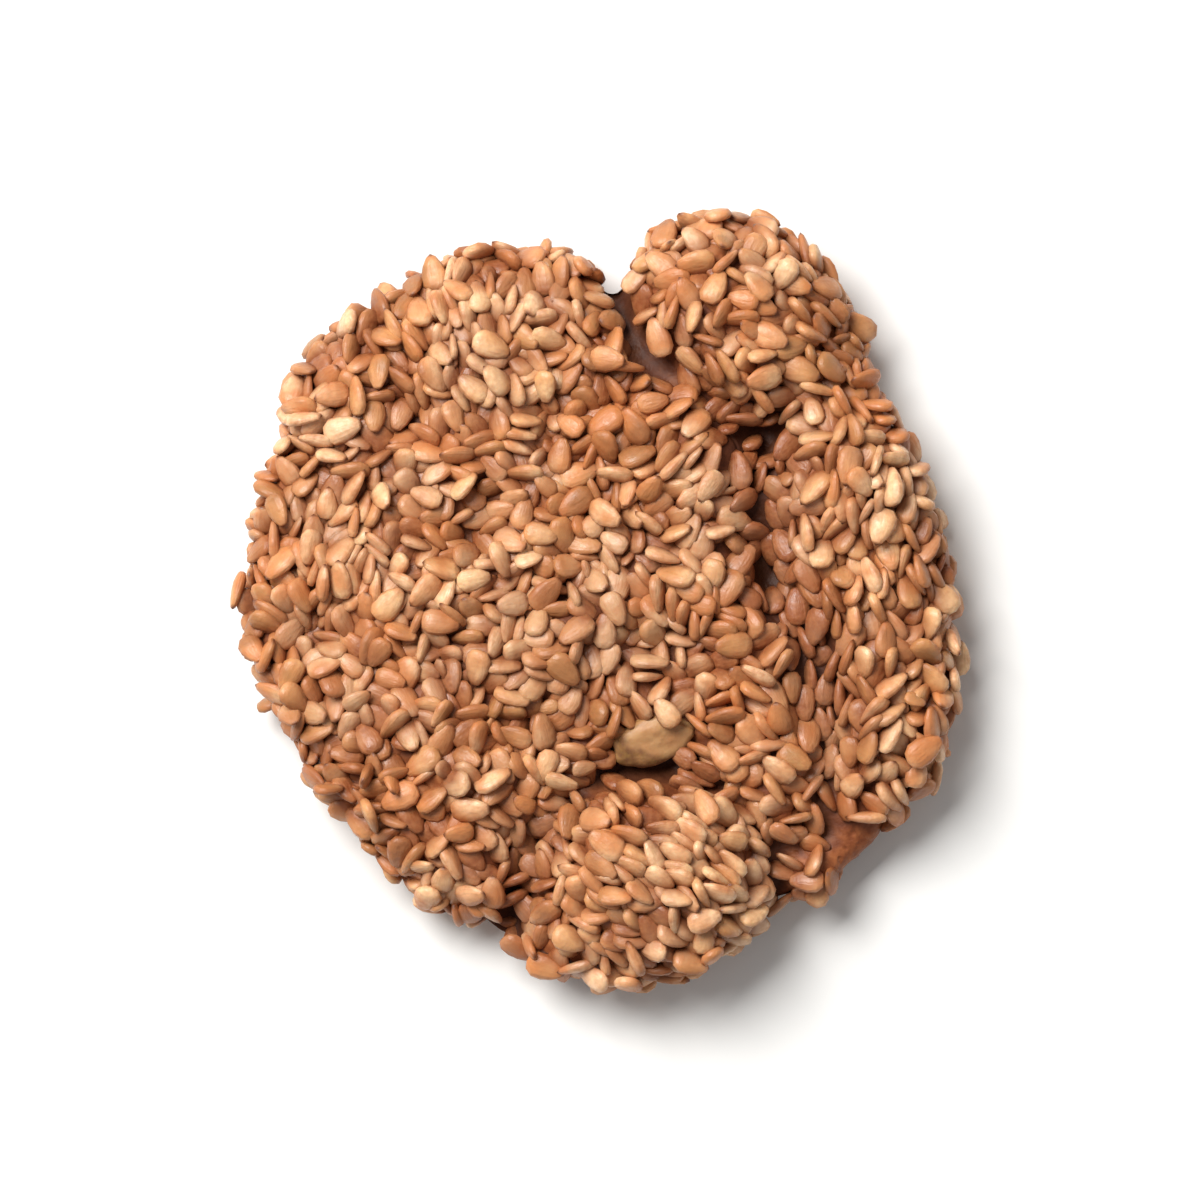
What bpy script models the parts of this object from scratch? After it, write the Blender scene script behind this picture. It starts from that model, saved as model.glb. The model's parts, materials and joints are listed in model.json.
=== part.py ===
"""A barazek: a crisp, round Levantine biscuit coated in toasted sesame, with chopped pistachio.

Metres, +Z up. The origin is the middle of the flat base. The baked biscuit is one piece, so its
dough, the sesame seeds and the pistachio chips that stand out of it are fused into one solid.
"""

import math
import random

import bmesh
import bpy
from mathutils import Matrix, Vector, noise
from mathutils.bvhtree import BVHTree

MM = 0.001

# The whole biscuit
DOUGH_RADIUS = 24.6 * MM
DOME_HEIGHT = 8.6 * MM
RIM_HEIGHT = 3.3 * MM
FLAT_BASE_SHARE = 0.42
BASE_LIFT = 0.6 * MM
BASE_CURVE_SHARE = 0.68
SIDE_FULLNESS = 0.88
DOME_FULLNESS = 0.58

# How the rim's height wavers round the biscuit: waves in one turn, start in radians, height
RIM_WAVES = ((2, 0.6, 0.5 * MM), (5, 2.0, 0.3 * MM))

# How the rim swells and draws in: direction in degrees, half-width in degrees, reach
OUTLINE_SWELLS = (
    (68.0, 13.0, 4.7 * MM),
    (89.0, 3.2, -2.7 * MM),
    (133.0, 22.0, 3.4 * MM),
    (182.0, 14.0, 1.7 * MM),
    (234.0, 14.0, -0.3 * MM),
    (272.0, 19.0, 2.8 * MM),
    (298.0, 5.0, -1.3 * MM),
    (309.0, 7.0, 0.8 * MM),
    (335.0, 15.0, 1.2 * MM),
    (12.0, 16.0, -0.8 * MM),
)

# Round swellings and hollows of the dome: middle x, middle y, radius, height
DOME_LUMPS = (
    (2.8 * MM, -20.2 * MM, 7.4 * MM, 2.1 * MM),
    (8.3 * MM, 21.2 * MM, 6.6 * MM, 2.2 * MM),
    (17.8 * MM, 9.4 * MM, 4.8 * MM, 1.4 * MM),
    (20.4 * MM, -10.5 * MM, 4.4 * MM, 1.0 * MM),
    (14.8 * MM, -22.0 * MM, 2.6 * MM, 1.2 * MM),
    (-6.5 * MM, 19.0 * MM, 6.0 * MM, 0.9 * MM),
    (5.0 * MM, 4.0 * MM, 4.0 * MM, 0.4 * MM),
    (8.0 * MM, -6.0 * MM, 4.6 * MM, 0.5 * MM),
    (-12.0 * MM, -6.5 * MM, 6.0 * MM, 0.4 * MM),
    (11.0 * MM, 13.2 * MM, 2.2 * MM, -1.4 * MM),
    (11.9 * MM, 2.2 * MM, 2.0 * MM, -1.3 * MM),
    (-14.6 * MM, 13.6 * MM, 2.6 * MM, -1.1 * MM),
    (-21.5 * MM, -2.0 * MM, 3.2 * MM, -1.0 * MM),
    (-9.8 * MM, 4.2 * MM, 2.3 * MM, -0.8 * MM),
)
RELIEF_ONSET = 0.4

# Creases, each a line of x, y, depth, and the drop to the dough on its right. The long one is where
# the outer flap meets the dome, from the notch in the rim round to the lower right. The other
# goes round the bottom lobe.
CREASES = (
    (
        (0.0 * MM, 27.6 * MM, 1.5 * MM, 0.0 * MM),
        (0.9 * MM, 22.2 * MM, 2.1 * MM, 0.0 * MM),
        (3.0 * MM, 18.5 * MM, 2.5 * MM, 0.3 * MM),
        (7.4 * MM, 15.5 * MM, 2.1 * MM, 0.6 * MM),
        (10.4 * MM, 12.0 * MM, 2.7 * MM, 0.8 * MM),
        (11.1 * MM, 7.4 * MM, 2.3 * MM, 1.1 * MM),
        (11.8 * MM, 2.0 * MM, 2.8 * MM, 1.1 * MM),
        (14.6 * MM, -3.0 * MM, 2.1 * MM, 0.9 * MM),
        (16.3 * MM, -10.0 * MM, 1.8 * MM, 0.5 * MM),
        (15.2 * MM, -16.5 * MM, 1.2 * MM, 0.0 * MM),
    ),
    (
        (-7.4 * MM, -23.5 * MM, 1.6 * MM, 0.0 * MM),
        (-6.2 * MM, -17.6 * MM, 2.3 * MM, 0.0 * MM),
        (-2.4 * MM, -13.4 * MM, 2.1 * MM, 0.0 * MM),
        (1.0 * MM, -12.0 * MM, 3.0 * MM, 0.0 * MM),
        (3.8 * MM, -11.8 * MM, 3.0 * MM, 0.0 * MM),
        (8.6 * MM, -13.8 * MM, 1.3 * MM, 0.0 * MM),
        (11.2 * MM, -17.6 * MM, 1.4 * MM, 0.0 * MM),
        (12.2 * MM, -24.5 * MM, 1.6 * MM, 0.0 * MM),
    ),
)
CREASE_WIDTH = 1.4 * MM
LEDGE_WIDTH = 1.6 * MM

# Uneven baked surface: size of the bumps, height
CRAGS = ((7.0 * MM, 0.7 * MM), (3.2 * MM, 0.35 * MM))
CRAG_LIFT = 1.5

# Faces of the dough
BALL_SUBDIVISIONS = 5
FACES_KEPT = 0.27
BASE_SNAP = 0.05 * MM
SEAM_SNAP = 0.01 * MM
FUSED_TRIANGLES = 11900

# Sesame seeds
SEED_LENGTH = 3.15 * MM
SEED_WIDTH = 1.85 * MM
SEED_THICKNESS = 1.1 * MM
SEED_TAPER = 0.32
SEED_COUNT = 345
SEED_SIDES = 6
SEED_RINGS = 3
SEED_SUNK = -0.3 * MM
SEED_TILT = math.radians(17)
SEED_SIZES = (0.9, 1.12)
SEED_LOWEST = 0.25 * MM
SEED_TRIES = 60

# Pistachio chips: those under the biscuit by direction, share of the way out and heading, those
# at the foot of its rim by direction, height and lean, all in degrees, and the one on its dome
CHIP_LENGTH = 5.4 * MM
CHIP_WIDTH = 3.4 * MM
CHIP_THICKNESS = 2.4 * MM
CHIP_ROUGHNESS = 0.16
BASE_CHIP_HEIGHT = 0.6 * MM
BASE_CHIP_FLAT = 0.05 * MM
BASE_CHIPS = (
    (8.0, 0.70, 60.0),
    (46.0, 0.56, -20.0),
    (81.0, 0.74, 35.0),
    (123.0, 0.60, 80.0),
    (152.0, 0.76, -50.0),
    (196.0, 0.58, 10.0),
    (229.0, 0.72, -75.0),
    (262.0, 0.60, 45.0),
    (291.0, 0.75, -10.0),
    (327.0, 0.57, 70.0),
)
RIM_CHIP_SHARE = 0.93
RIM_CHIPS = (
    (38.0, 2.2 * MM, 14.0),
    (164.0, 2.3 * MM, -12.0),
    (214.0, 2.0 * MM, 10.0),
    (318.0, 2.1 * MM, -16.0),
)
DOME_CHIP = (3.6 * MM, -9.2 * MM)
DOME_CHIP_HEADING = math.radians(17)
DOME_CHIP_SUNK = 0.75 * MM

RANDOM_SEED = 11


def bell(away, half_width):
    """1 at the middle, falling smoothly to nothing."""
    return math.exp(-0.5 * (away / half_width) ** 2)


def ease(share):
    """A share between 0 and 1, eased at both ends."""
    share = min(1.0, max(0.0, share))
    return share * share * (3 - 2 * share)


def outline_radius(angle):
    """How far the rim of the dough is from the middle in this direction."""
    radius = DOUGH_RADIUS
    for direction, half_width, reach in OUTLINE_SWELLS:
        turn = (math.degrees(angle) - direction + 180) % 360 - 180
        radius += reach * bell(turn, half_width)
    return radius


def crease_relief(crease, x, y):
    """Height of one crease and of the lower ledge on its right at this place."""
    point = Vector((x, y))
    nearest = None
    for first, second in zip(crease, crease[1:]):
        start = Vector(first[:2])
        line = Vector(second[:2]) - start
        share = min(1.0, max(0.0, (point - start).dot(line) / line.length_squared))
        away = point - start - line * share
        if nearest is None or away.length < nearest:
            nearest = away.length
            depth = first[2] + (second[2] - first[2]) * share
            drop = first[3] + (second[3] - first[3]) * share
            on_right = line.cross(away) < 0
    ledge = drop * ease(nearest / LEDGE_WIDTH) if on_right else 0.0
    return -depth * bell(nearest, CREASE_WIDTH) - ledge


def dome_relief(x, y):
    """Height added to the plain dome by its lumps, hollows and creases."""
    height = sum(crease_relief(crease, x, y) for crease in CREASES)
    for middle_x, middle_y, radius, rise in DOME_LUMPS:
        away = math.hypot(x - middle_x, y - middle_y) / radius
        height += rise * math.exp(-(away**3))
    return height


def crag(point):
    """Rise and fall of the baked surface at this point, from smooth noise."""
    return sum(height * noise.noise(point / size) for size, height in CRAGS)


def rim_height(angle):
    """Height of the widest part of the rim, which wavers round the biscuit."""
    height = RIM_HEIGHT
    for waves, start, rise in RIM_WAVES:
        height += rise * math.sin(waves * angle + start)
    return height


def base_height(share, angle):
    """Height of the underside at this share of the way out: flat, a low lift, then up to the rim."""
    lift = BASE_LIFT * ease((share - FLAT_BASE_SHARE) / (BASE_CURVE_SHARE - FLAT_BASE_SHARE))
    past = max(0.0, share - BASE_CURVE_SHARE) / (1 - BASE_CURVE_SHARE)
    return lift + (rim_height(angle) - BASE_LIFT) * past**3


def dough_point(ball):
    """The place on the dough of a point of the unit ball: its upper half is the dome."""
    angle = math.atan2(ball.y, ball.x)
    share = min(1.0, math.hypot(ball.x, ball.y)) ** SIDE_FULLNESS
    reach = outline_radius(angle) * share
    x = reach * math.cos(angle)
    y = reach * math.sin(angle)
    if ball.z < 0:
        height = base_height(share, angle)
        rough = ease(height / RIM_HEIGHT)
    else:
        rise = ball.z**DOME_FULLNESS
        height = rim_height(angle) + (DOME_HEIGHT - RIM_HEIGHT) * rise
        height += dome_relief(x, y) * ease(rise / RELIEF_ONSET)
        rough = 1.0
    point = Vector((x, y, height))
    outward = Vector((ball.x, ball.y, ball.z * CRAG_LIFT)).normalized()
    return point + outward * (rough * crag(point))


def add_object(name, mesh, collection):
    """Links a new object with this mesh to the collection."""
    made = bpy.data.objects.new(name, mesh)
    collection.objects.link(made)
    return made


def mesh_from(form, name):
    """Turns a finished bmesh into a mesh."""
    mesh = bpy.data.meshes.new(name)
    form.to_mesh(mesh)
    form.free()
    return mesh


def apply_modifiers(target):
    """Replaces the object's mesh by what its modifiers make of it."""
    graph = bpy.context.evaluated_depsgraph_get()
    mesh = bpy.data.meshes.new_from_object(target.evaluated_get(graph))
    target.modifiers.clear()
    target.data = mesh


def flatten_base(target, within):
    """Brings the points that are this near the tray down to it, so that the base is truly flat."""
    for vertex in target.data.vertices:
        if vertex.co.z < within:
            vertex.co.z = 0.0


def make_dough(collection):
    """The plain baked dough: a ball moved to the biscuit's form, with few faces where it is flat."""
    form = bmesh.new()
    bmesh.ops.create_icosphere(form, subdivisions=BALL_SUBDIVISIONS, radius=1.0)
    for vertex in form.verts:
        vertex.co = dough_point(vertex.co.copy())
    dough = add_object("biscuit", mesh_from(form, "biscuit"), collection)
    fewer = dough.modifiers.new("fewer faces", "DECIMATE")
    fewer.ratio = FACES_KEPT
    bpy.context.view_layer.update()
    apply_modifiers(dough)
    flatten_base(dough, BASE_SNAP)
    return dough


def surface_of(target):
    """The object's surface as a search tree, and its points and triangles."""
    target.data.calc_loop_triangles()
    points = [vertex.co.copy() for vertex in target.data.vertices]
    faces = [tuple(triangle.vertices) for triangle in target.data.loop_triangles]
    return BVHTree.FromPolygons(points, faces), points, faces


def scatter_places(points, faces, count, draw):
    """Evenly spread (place, normal) pairs: each is the one of several tries furthest from the rest."""
    corners = [[points[i] for i in face] for face in faces]
    areas = [(b - a).cross(c - a).length for a, b, c in corners]
    places = []
    for _ in range(count):
        best = None
        furthest = -1.0
        for a, b, c in draw.choices(corners, areas, k=SEED_TRIES):
            first, second = sorted((draw.random(), draw.random()))
            place = a * first + b * (second - first) + c * (1 - second)
            if place.z < SEED_LOWEST + SEED_WIDTH / 2:
                continue
            nearest = min(((place - other).length_squared for other, _ in places), default=1.0)
            if nearest > furthest:
                furthest = nearest
                best = (place, (b - a).cross(c - a).normalized())
        places.append(best)
    return places


def seed_mesh():
    """One sesame seed, flat and drop-shaped, lying along X with its point at +X."""
    form = bmesh.new()
    bmesh.ops.create_uvsphere(form, u_segments=SEED_SIDES, v_segments=SEED_RINGS, radius=0.5)
    for vertex in form.verts:
        narrowing = 1 - SEED_TAPER * 2 * vertex.co.x
        vertex.co = Vector(
            (
                vertex.co.x * SEED_LENGTH,
                vertex.co.y * narrowing * SEED_WIDTH,
                vertex.co.z * narrowing * SEED_THICKNESS,
            )
        )
    return mesh_from(form, "sesame seed")


def standing_on(place, normal, heading):
    """The matrix of a piece that lies at place with its +Z along normal, turned by heading."""
    turn = normal.to_track_quat("Z", "Y").to_matrix().to_4x4()
    return Matrix.Translation(place) @ turn @ Matrix.Rotation(heading, 4, "Z")


def add_seeds(points, faces, toppings, draw):
    """Sesame seeds all over the dome and the rim, each sunk a little in the dough."""
    mesh = seed_mesh()
    for place, normal in scatter_places(points, faces, SEED_COUNT, draw):
        heading = draw.uniform(0, 2 * math.pi)
        tilt = Matrix.Rotation(draw.uniform(-SEED_TILT, SEED_TILT), 4, "Y")
        roll = Matrix.Rotation(draw.uniform(-SEED_TILT, SEED_TILT), 4, "X")
        size = Matrix.Scale(draw.uniform(*SEED_SIZES), 4)
        matrix = standing_on(place - normal * SEED_SUNK, normal, heading) @ tilt @ roll @ size
        if min((matrix @ vertex.co).z for vertex in mesh.vertices) > SEED_LOWEST:
            add_object("seed", mesh, toppings).matrix_world = matrix


def rim_place(direction, share, height):
    """The point at this height, this share of the way from the middle to the rim."""
    angle = math.radians(direction)
    reach = outline_radius(angle) * share
    return Vector((reach * math.cos(angle), reach * math.sin(angle), height))


def chip_mesh(draw):
    """One angular chip of pistachio."""
    form = bmesh.new()
    bmesh.ops.create_icosphere(form, subdivisions=1, radius=0.5)
    for vertex in form.verts:
        vertex.co *= 1 + draw.uniform(-CHIP_ROUGHNESS, CHIP_ROUGHNESS)
        vertex.co = Vector(
            (
                vertex.co.x * CHIP_LENGTH,
                vertex.co.y * CHIP_WIDTH,
                vertex.co.z * CHIP_THICKNESS,
            )
        )
    return mesh_from(form, "pistachio chip")


def add_chips(tree, toppings, draw):
    """Pistachio chips under the biscuit and at the foot of its rim, and the one on its dome."""
    for direction, share, heading in BASE_CHIPS:
        chip = add_object("base chip", chip_mesh(draw), toppings)
        turn = Matrix.Rotation(math.radians(heading), 4, "Z")
        chip.matrix_world = Matrix.Translation(rim_place(direction, share, BASE_CHIP_HEIGHT)) @ turn
        for vertex in chip.data.vertices:
            vertex.co.z = max(vertex.co.z, BASE_CHIP_FLAT - BASE_CHIP_HEIGHT)
    for direction, height, lean in RIM_CHIPS:
        chip = add_object("rim chip", chip_mesh(draw), toppings)
        along_rim = Matrix.Rotation(math.radians(direction + 90), 4, "Z")
        turn = along_rim @ Matrix.Rotation(math.radians(lean), 4, "Y")
        chip.matrix_world = Matrix.Translation(rim_place(direction, RIM_CHIP_SHARE, height)) @ turn
    above = Vector((DOME_CHIP[0], DOME_CHIP[1], 2 * DOME_HEIGHT))
    place, normal, _, _ = tree.ray_cast(above, Vector((0, 0, -1)))
    chip = add_object("dome chip", chip_mesh(draw), toppings)
    chip.matrix_world = standing_on(place - normal * DOME_CHIP_SUNK, normal, DOME_CHIP_HEADING)


def fuse(dough, toppings):
    """One Boolean union of the dough with all its toppings, which are then removed."""
    union = dough.modifiers.new("toppings", "BOOLEAN")
    union.operation = "UNION"
    union.operand_type = "COLLECTION"
    union.collection = toppings
    union.solver = "EXACT"
    bpy.context.view_layer.update()
    apply_modifiers(dough)
    for piece in list(toppings.objects):
        bpy.data.objects.remove(piece)
    bpy.data.collections.remove(toppings)


def drop_slivers(target):
    """Takes out the thin faces that the union leaves along each seam."""
    fewer = target.modifiers.new("fewer faces", "DECIMATE")
    target.data.calc_loop_triangles()
    fewer.ratio = FUSED_TRIANGLES / len(target.data.loop_triangles)
    bpy.context.view_layer.update()
    apply_modifiers(target)


def keep_outer_body(target):
    """Drops loose scraps and fills sealed hollows: only the largest closed surface stays."""
    form = bmesh.new()
    form.from_mesh(target.data)
    left = set(form.verts)
    bodies = []
    while left:
        body = set()
        edge = [left.pop()]
        while edge:
            vertex = edge.pop()
            body.add(vertex)
            near = {link.other_vert(vertex) for link in vertex.link_edges} & left
            left -= near
            edge.extend(near)
        bodies.append(body)
    bodies.sort(key=len)
    scraps = [vertex for body in bodies[:-1] for vertex in body]
    bmesh.ops.delete(form, geom=scraps, context="VERTS")
    form.to_mesh(target.data)
    form.free()


def stand_on_origin(target):
    """Moves the mesh level, so that the middle of its reach is over the origin."""
    points = [vertex.co for vertex in target.data.vertices]
    low = [min(point[axis] for point in points) for axis in range(2)]
    high = [max(point[axis] for point in points) for axis in range(2)]
    middle = Vector(((low[0] + high[0]) / 2, (low[1] + high[1]) / 2, 0.0))
    target.data.transform(Matrix.Translation(-middle))


def baked_material():
    """Toasted sesame over caramel-brown dough."""
    material = bpy.data.materials.new("toasted sesame biscuit")
    material.use_nodes = True
    surface = material.node_tree.nodes["Principled BSDF"]
    surface.inputs["Base Color"].default_value = (0.42, 0.19, 0.085, 1.0)
    surface.inputs["Roughness"].default_value = 0.55
    surface.inputs["Metallic"].default_value = 0.0
    return material


def main():
    for old in list(bpy.data.objects):
        bpy.data.objects.remove(old)
    barazek = bpy.data.collections.new("barazek")
    toppings = bpy.data.collections.new("toppings")
    bpy.context.scene.collection.children.link(barazek)
    bpy.context.scene.collection.children.link(toppings)
    draw = random.Random(RANDOM_SEED)
    biscuit = make_dough(barazek)
    tree, points, faces = surface_of(biscuit)
    add_seeds(points, faces, toppings, draw)
    add_chips(tree, toppings, draw)
    fuse(biscuit, toppings)
    keep_outer_body(biscuit)
    drop_slivers(biscuit)
    flatten_base(biscuit, SEAM_SNAP)
    stand_on_origin(biscuit)
    biscuit.data.materials.clear()
    biscuit.data.materials.append(baked_material())


main()
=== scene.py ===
"""A barazek: a crisp, round Levantine biscuit coated in toasted sesame, with chopped pistachio."""

import json
import math
import random

import bmesh
import bpy
import numpy as np
from mathutils import Matrix, Vector, kdtree, noise
from mathutils.bvhtree import BVHTree

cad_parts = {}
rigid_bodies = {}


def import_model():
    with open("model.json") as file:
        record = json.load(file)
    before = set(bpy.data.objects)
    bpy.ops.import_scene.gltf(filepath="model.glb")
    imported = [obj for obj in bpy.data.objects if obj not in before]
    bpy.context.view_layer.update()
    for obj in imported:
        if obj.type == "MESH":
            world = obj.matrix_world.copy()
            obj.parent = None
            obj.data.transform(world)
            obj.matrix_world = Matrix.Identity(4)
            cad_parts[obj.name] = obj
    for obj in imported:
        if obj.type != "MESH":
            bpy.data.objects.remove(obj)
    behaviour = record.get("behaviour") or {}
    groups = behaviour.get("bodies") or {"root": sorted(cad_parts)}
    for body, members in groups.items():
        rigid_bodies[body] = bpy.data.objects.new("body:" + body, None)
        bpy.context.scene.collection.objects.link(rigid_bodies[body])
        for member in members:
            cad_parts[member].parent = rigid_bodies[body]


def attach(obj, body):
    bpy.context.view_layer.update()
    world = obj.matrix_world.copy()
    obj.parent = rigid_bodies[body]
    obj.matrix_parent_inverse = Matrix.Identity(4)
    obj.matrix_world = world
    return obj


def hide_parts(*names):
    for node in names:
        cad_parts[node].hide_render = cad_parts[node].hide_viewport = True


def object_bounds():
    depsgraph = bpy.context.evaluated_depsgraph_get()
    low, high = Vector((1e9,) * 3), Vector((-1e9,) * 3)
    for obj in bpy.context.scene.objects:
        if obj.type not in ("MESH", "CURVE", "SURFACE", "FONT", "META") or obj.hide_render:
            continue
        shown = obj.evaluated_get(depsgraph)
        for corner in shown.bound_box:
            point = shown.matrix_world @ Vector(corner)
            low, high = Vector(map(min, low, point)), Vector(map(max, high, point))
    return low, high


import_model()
cad_low, cad_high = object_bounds()

MM = 0.001


def in_metres(lengths, *rows):
    """These rows, with the lengths that each starts with turned from millimetres to metres."""
    return [(*(number * MM for number in row[:lengths]), *row[lengths:]) for row in rows]


# The dough: flour, butter and honey, pressed into a round by hand and baked till it is crisp.
# Its rim swells and draws in, its dome is lumpy and parted by creases where the dough was folded
# on itself, and its underside is flat where it lay on the tray, with a raised ring round that.
DOUGH_RADIUS = 24.6 * MM
DOME_HEIGHT = 8.6 * MM
RIM_HEIGHT = 3.3 * MM
FLAT_BASE_SHARE = 0.42
BASE_LIFT = 0.6 * MM
BASE_CURVE_SHARE = 0.68
SIDE_FULLNESS = 0.88
DOME_FULLNESS = 0.58
OUTLINE_MIDDLE = Vector((-1.050 * MM, 0.283 * MM, 0.0))

# How the rim's height wavers round the biscuit: waves in one turn, start in radians, height
RIM_WAVES = ((2, 0.6, 0.5 * MM), (5, 2.0, 0.3 * MM))

# How the rim swells and draws in: direction in degrees, half-width in degrees, reach
OUTLINE_SWELLS = (
    (68.0, 13.0, 4.7 * MM),
    (90.0, 3.8, -3.0 * MM),
    (133.0, 22.0, 3.4 * MM),
    (182.0, 14.0, 1.7 * MM),
    (234.0, 14.0, -0.3 * MM),
    (272.0, 19.0, 2.8 * MM),
    (298.0, 5.0, -1.3 * MM),
    (309.0, 7.0, 0.8 * MM),
    (335.0, 15.0, 1.2 * MM),
    (12.0, 16.0, -0.8 * MM),
)

# Round swellings and hollows of the dome: middle x, middle y, radius, height, in millimetres
DOME_LUMPS = in_metres(
    4,
    (2.8, -20.2, 7.4, 2.1),
    (8.2, -22.0, 4.2, 0.7),
    (8.3, 21.2, 6.6, 2.2),
    (17.8, 9.4, 4.8, 1.4),
    (20.4, -10.5, 4.4, 1.0),
    (14.8, -22.0, 2.6, 1.2),
    (-6.5, 19.0, 6.0, 0.9),
    (5.0, 4.0, 4.0, 0.4),
    (8.0, -6.0, 4.6, 0.5),
    (-12.0, -6.5, 6.0, 0.4),
    (12.0, 12.4, 2.4, -1.2),
    (11.9, 2.2, 2.0, -1.3),
    (-14.6, 13.6, 2.6, -1.1),
    (-21.5, -2.0, 3.2, -1.0),
    (-10.2, 4.6, 2.0, -1.0),
    (-9.0, 8.0, 1.8, -0.9),
)

# The share of the dome's rise at which these are in full
RELIEF_ONSET = 0.4

# Creases, each a line of x, y, depth, and the drop to the dough on its right, in millimetres. The
# long one is where the outer flap meets the dome, from the notch in the rim round to the lower
# right. The other goes round the bottom lobe.
CREASES = (
    in_metres(
        4,
        (-0.3, 27.6, 1.8, 0.0),
        (0.2, 22.6, 2.3, 0.0),
        (2.5, 18.4, 2.5, 0.3),
        (7.2, 15.5, 2.0, 0.6),
        (11.0, 12.2, 2.7, 0.8),
        (11.1, 7.4, 1.7, 0.9),
        (11.8, 2.0, 2.8, 1.1),
        (14.6, -3.0, 2.1, 0.9),
        (16.3, -10.0, 1.8, 0.5),
        (15.2, -16.5, 1.2, 0.0),
    ),
    in_metres(
        4,
        (-7.4, -23.5, 2.4, 0.0),
        (-6.2, -17.6, 2.6, 0.0),
        (-2.4, -13.4, 1.6, 0.0),
        (1.0, -12.0, 3.0, 0.0),
        (3.8, -11.8, 3.0, 0.0),
        (8.6, -13.8, 1.3, 0.0),
        (11.2, -17.6, 2.0, 0.0),
        (12.2, -24.5, 2.4, 0.0),
    ),
)
CREASE_WIDTH = 1.4 * MM
LEDGE_WIDTH = 1.6 * MM

# How deep below the open dome the painted shade of the creases starts, with the honey that gathers
# there, and how deep it is darkest
CREASE_SHADE_DEPTHS = (0.35 * MM, 1.8 * MM)

# Uneven baked surface, and the finer crumb on it: size of the bumps, height; then how much more
# they rise up than out
CRAGS = ((7.0 * MM, 0.7 * MM), (3.4 * MM, 0.5 * MM))
CRUMB = ((2.4 * MM, 0.34 * MM), (1.1 * MM, 0.15 * MM), (0.6 * MM, 0.05 * MM))
CRAG_LIFT = 1.5

# Room that the sesame coat takes inside the biscuit's outer size, and between which heights its
# foot is
COAT_ROOM = 0.45 * MM
COAT_FOOT = (0.8 * MM, 2.4 * MM)

# Underside: how far its lowest dough is off the tray, and the hollows where it shrank: size, depth
DOUGH_LOWEST = 0.06 * MM
TRAY_HOLLOWS = ((5.5 * MM, 0.35 * MM), (1.6 * MM, 0.12 * MM))

# Its colour: the ring in which the underside browns towards the rim, the heights between which it
# passes into the top, the painted shade in the folds, with the honey there, and the painted shade
# in the cracks and pores
SCORCH_RING = (13 * MM, 24 * MM)
TOP_FROM = (0.5 * MM, 2.2 * MM)
CREASE_SHADE_BROWN = (0.04, 0.012, 0.006)
CRACK_SHADE_BROWN = (0.17, 0.055, 0.017)

# How fine the dough is, and the plain form of it that chips and seeds are laid on
DOUGH_SUBDIVISIONS = 7
BED_SUBDIVISIONS = 6


def bell(away, half_width):
    """1 at the middle, falling smoothly to nothing."""
    return math.exp(-0.5 * (away / half_width) ** 2)


def ease(share):
    """A share between 0 and 1, eased at both ends."""
    share = min(1.0, max(0.0, share))
    return share * share * (3 - 2 * share)


def outline_radius(angle):
    """How far the rim of the dough is from the middle in this direction."""
    radius = DOUGH_RADIUS
    for direction, half_width, reach in OUTLINE_SWELLS:
        turn = (math.degrees(angle) - direction + 180) % 360 - 180
        radius += reach * bell(turn, half_width)
    return radius


def crease_relief(crease, x, y):
    """Height of one crease and of the lower ledge on its right at this place."""
    point = Vector((x, y))
    nearest = None
    for first, second in zip(crease, crease[1:]):
        start = Vector(first[:2])
        line = Vector(second[:2]) - start
        share = min(1.0, max(0.0, (point - start).dot(line) / line.length_squared))
        away = point - start - line * share
        if nearest is None or away.length < nearest:
            nearest = away.length
            depth = first[2] + (second[2] - first[2]) * share
            drop = first[3] + (second[3] - first[3]) * share
            on_right = line.cross(away) < 0
    ledge = drop * ease(nearest / LEDGE_WIDTH) if on_right else 0.0
    return -depth * bell(nearest, CREASE_WIDTH) - ledge


def dome_relief(x, y):
    """Height added to the plain dome by its lumps, hollows and creases."""
    height = sum(crease_relief(crease, x, y) for crease in CREASES)
    for middle_x, middle_y, radius, rise in DOME_LUMPS:
        away = math.hypot(x - middle_x, y - middle_y) / radius
        height += rise * math.exp(-(away**3))
    return height


def fold_depth(place):
    """0 on the open dome and rim, up to 1 down in a crease or pit: painted shade, and honey there.
    """
    spot = place + OUTLINE_MIDDLE
    least, most = CREASE_SHADE_DEPTHS
    return ease((-dome_relief(spot.x, spot.y) - least) / (most - least))


def bumps(point, sizes):
    """Rise and fall of the baked surface at this point, from smooth noise."""
    return sum(height * noise.noise(point / size) for size, height in sizes)


def rim_height(angle):
    """Height of the widest part of the rim, which wavers round the biscuit."""
    height = RIM_HEIGHT
    for waves, start, rise in RIM_WAVES:
        height += rise * math.sin(waves * angle + start)
    return height


def base_height(share, angle):
    """Height of the underside at this share of the way out: flat, lifted, then up to the rim."""
    lift = BASE_LIFT * ease((share - FLAT_BASE_SHARE) / (BASE_CURVE_SHARE - FLAT_BASE_SHARE))
    past = max(0.0, share - BASE_CURVE_SHARE) / (1 - BASE_CURVE_SHARE)
    return lift + (rim_height(angle) - BASE_LIFT) * past**3


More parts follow.
